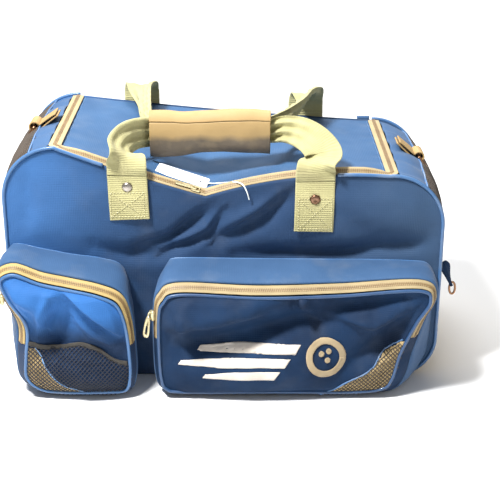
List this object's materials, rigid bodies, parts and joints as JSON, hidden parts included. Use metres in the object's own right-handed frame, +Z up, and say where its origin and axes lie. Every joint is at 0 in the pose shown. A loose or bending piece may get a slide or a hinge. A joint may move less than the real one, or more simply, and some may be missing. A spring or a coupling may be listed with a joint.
{
  "type": "bowling ball bag",
  "caption": "Soft two-ball bowling bag with a zipped lid, two zipped front pockets, mesh ends and a webbing handle with a wrapped grip.",
  "frame": {"origin": "middle of the underside of the main compartment", "axes": "+X to the right seen from the front, -Y towards the front pockets, +Z up"},
  "size_m": [0.529, 0.2998, 0.3122],
  "materials": {
    "body_nylon": "satin",
    "lid_nylon": "satin",
    "pocket_nylon": "satin",
    "tan_nylon": "satin",
    "mesh": "matte",
    "piping": "satin",
    "zip_tape": "matte",
    "webbing": "matte",
    "rivet_steel": "satin",
    "grip_leather": "satin",
    "ring_brass": "satin",
    "elastic": "matte",
    "embroidery": "satin",
    "slider_metal": "satin",
    "board": "matte",
    "foam": "matte",
    "paper": "matte",
    "string": "matte"
  },
  "bodies": {
    "bag": {"front_panel": "body_nylon", "back_panel": "body_nylon", "bottom_panel": "body_nylon", "left_shoulder": "body_nylon", "right_shoulder": "body_nylon", "left_end_panel": "tan_nylon", "right_end_panel": "tan_nylon", "left_mesh_corner": "tan_nylon", "right_mesh_corner": "tan_nylon", "left_end_mesh": "mesh", "right_end_mesh": "mesh", "left_pocket_net": "mesh", "right_pocket_net": "mesh", "front_piping": "piping", "back_piping": "piping", "right_pocket_piping": "piping", "left_pocket_piping": "piping", "main_zip_tape": "zip_tape", "right_pocket_zip_tape": "zip_tape", "left_pocket_zip_tape": "zip_tape", "zip_end_tab": "body_nylon", "front_handle_legs": "webbing", "back_handle_legs": "webbing", "front_rivets": "rivet_steel", "back_rivets": "rivet_steel", "rivet_washers": "rivet_steel", "left_strap_tab": "grip_leather", "right_strap_tab": "grip_leather", "right_pocket_gusset": "pocket_nylon", "left_pocket_gusset": "pocket_nylon", "right_pocket_front": "pocket_nylon", "left_pocket_front": "pocket_nylon", "net_binding": "elastic", "pocket_emblem": "embroidery", "base_board": "board", "ball_cups": "foam", "centre_divider": "foam"},
    "lid": {"lid_panel": "lid_nylon", "lid_zip_tape": "zip_tape", "hang_tag": "paper", "tag_string": "string"},
    "front_handle": {"front_handle_strap": "webbing"},
    "back_handle": {"back_handle_strap": "webbing", "grip_wrap": "grip_leather"},
    "grip_closure": {"grip_flap": "grip_leather"},
    "right_flap": {"right_pocket_flap": "pocket_nylon", "right_flap_tape": "zip_tape", "right_flap_piping": "piping"},
    "left_flap": {"left_pocket_flap": "pocket_nylon", "left_flap_tape": "zip_tape", "left_flap_piping": "piping"},
    "main_zip_slider": {"main_slider": "slider_metal"},
    "main_zip_pull": {"main_pull": "slider_metal"},
    "right_zip_slider": {"right_pocket_slider": "slider_metal"},
    "right_zip_pull": {"right_pocket_pull": "slider_metal"},
    "left_zip_slider": {"left_pocket_slider": "slider_metal"},
    "left_zip_pull": {"left_pocket_pull": "slider_metal"},
    "left_ring": {"left_d_ring": "ring_brass"},
    "right_ring": {"right_d_ring": "ring_brass"},
    "side_puller": {"side_pull": "body_nylon"}
  },
  "joints": [
    {"name": "lid_hinge", "type": "hinge", "parent": "bag", "child": "lid", "pos_m": [0, 0.113, 0.2685], "axis": [-0.9963, 0, 0.0865], "range_deg": [0, 100]},
    {"name": "front_handle_swing", "type": "hinge", "parent": "bag", "child": "front_handle", "pos_m": [-0.11, -0.1163, 0.2555], "axis": [0.9995, 0, -0.0328], "range_deg": [0, 200], "deforming": ["front_handle_strap"]},
    {"name": "back_handle_swing", "type": "hinge", "parent": "bag", "child": "back_handle", "pos_m": [0, 0.113, 0.2685], "axis": [-0.9963, 0, 0.0865], "range_deg": [0, 100]},
    {"name": "grip_flap_hinge", "type": "hinge", "parent": "back_handle", "child": "grip_closure", "pos_m": [0, -0.07, 0.3045], "axis": [-1, 0, 0], "range_deg": [0, 100]},
    {"name": "right_flap_hinge", "type": "hinge", "parent": "bag", "child": "right_flap", "pos_m": [0, -0.175, 0.076], "axis": [1, 0, 0], "range_deg": [0, 95]},
    {"name": "left_flap_hinge", "type": "hinge", "parent": "bag", "child": "left_flap", "pos_m": [0, -0.175, 0.068], "axis": [1, 0, 0], "range_deg": [0, 95]},
    {"name": "main_zip_slide", "type": "slide", "parent": "lid", "child": "main_zip_slider", "axis": [-0.9532, 0, 0.3022], "range_m": [0, 0.045]},
    {"name": "main_pull_hinge", "type": "hinge", "parent": "main_zip_slider", "child": "main_zip_pull", "pos_m": [-0.03255, -0.1075, 0.23617], "axis": [0, 1, 0], "range_deg": [0, 90]},
    {"name": "right_zip_slide", "type": "slide", "parent": "bag", "child": "right_zip_slider", "axis": [0, 0, -1], "range_m": [0, 0.02]},
    {"name": "right_pull_hinge", "type": "hinge", "parent": "right_zip_slider", "child": "right_zip_pull", "pos_m": [-0.08264, -0.16674, 0.104], "axis": [0.1803, 0.9836, 0], "range_deg": [0, 35]},
    {"name": "left_zip_slide", "type": "slide", "parent": "bag", "child": "left_zip_slider", "axis": [0, 0, -1], "range_m": [0, 0.04]},
    {"name": "left_pull_hinge", "type": "hinge", "parent": "left_zip_slider", "child": "left_zip_pull", "pos_m": [-0.25223, -0.16735, 0.124], "axis": [-0.0167, 0.9999, 0], "range_deg": [0, 90]},
    {"name": "left_ring_hinge", "type": "hinge", "parent": "bag", "child": "left_ring", "pos_m": [-0.22962, 0, 0.27953], "axis": [0, 1, 0], "range_deg": [0, 90]},
    {"name": "right_ring_hinge", "type": "hinge", "parent": "bag", "child": "right_ring", "pos_m": [0.2351, 0, 0.24209], "axis": [0, -1, 0], "range_deg": [0, 90]},
    {"name": "side_pull_hinge", "type": "hinge", "parent": "bag", "child": "side_puller", "pos_m": [0.255, -0.104, 0.141], "axis": [0, -1, 0], "range_deg": [-12, 60]}
  ],
  "couplings": [
    {"joint": "front_handle_swing", "follows": "lid_hinge", "ratio": 2},
    {"joint": "back_handle_swing", "follows": "lid_hinge", "ratio": 1}
  ]
}
